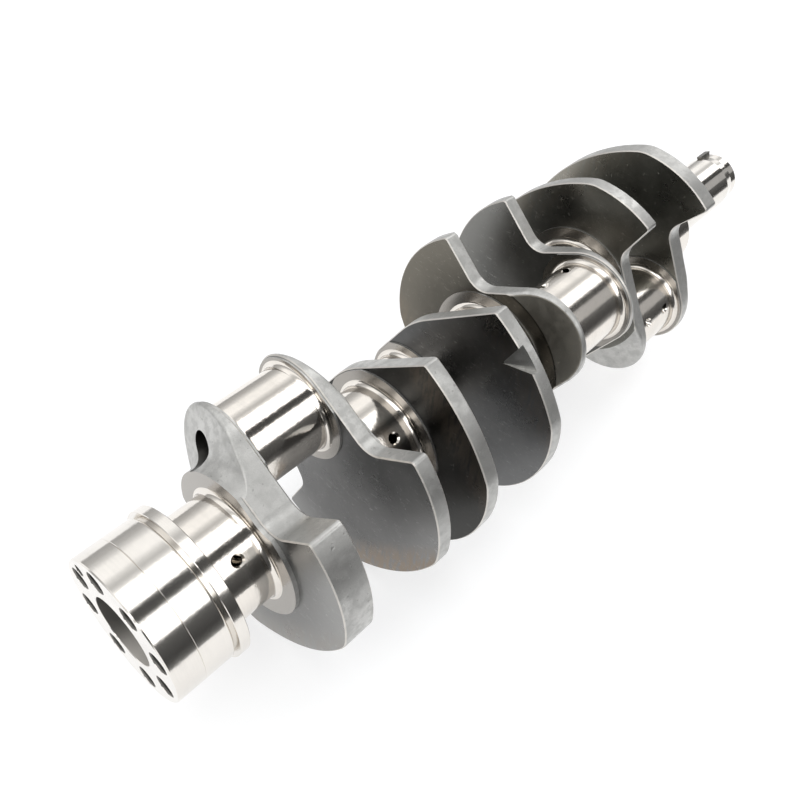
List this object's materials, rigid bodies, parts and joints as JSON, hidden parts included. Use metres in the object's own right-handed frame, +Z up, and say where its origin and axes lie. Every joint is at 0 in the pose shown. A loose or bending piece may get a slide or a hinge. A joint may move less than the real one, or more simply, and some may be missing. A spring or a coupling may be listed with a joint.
{
  "type": "engine crankshaft",
  "caption": "Cross-plane V-engine crankshaft with counterweighted webs, ground main and rod journals, bolted rear flange and keyed front snout.",
  "frame": {"origin": "centre of the rear flange's outer face, on the crank axis", "axes": "+X along the crank axis from the rear flange to the front nose, +Z up, with rod journals at 45 degrees to Y and Z"},
  "size_m": [0.6845, 0.188, 0.188],
  "materials": {
    "turned_steel": "turned and ground bright steel",
    "journal_steel": "ground and polished steel",
    "forged_steel": "dark satin forged faces with paler machined rims",
    "key_steel": "plain dark steel"
  },
  "bodies": {
    "root": {"rear_flange": "turned_steel", "rear_seal_land": "turned_steel", "oil_slinger_ring": "turned_steel", "front_snout": "turned_steel", "snout_nose": "turned_steel", "main_journal_1": "journal_steel", "main_journal_2": "journal_steel", "main_journal_3": "journal_steel", "main_journal_4": "journal_steel", "main_journal_5": "journal_steel", "rod_journal_1": "journal_steel", "rod_journal_2": "journal_steel", "rod_journal_3": "journal_steel", "rod_journal_4": "journal_steel", "web_1": "forged_steel", "web_2": "forged_steel", "web_3": "forged_steel", "web_4": "forged_steel", "web_5": "forged_steel", "web_6": "forged_steel", "web_7": "forged_steel", "web_8": "forged_steel", "snout_key": "key_steel"}
  },
  "joints": []
}
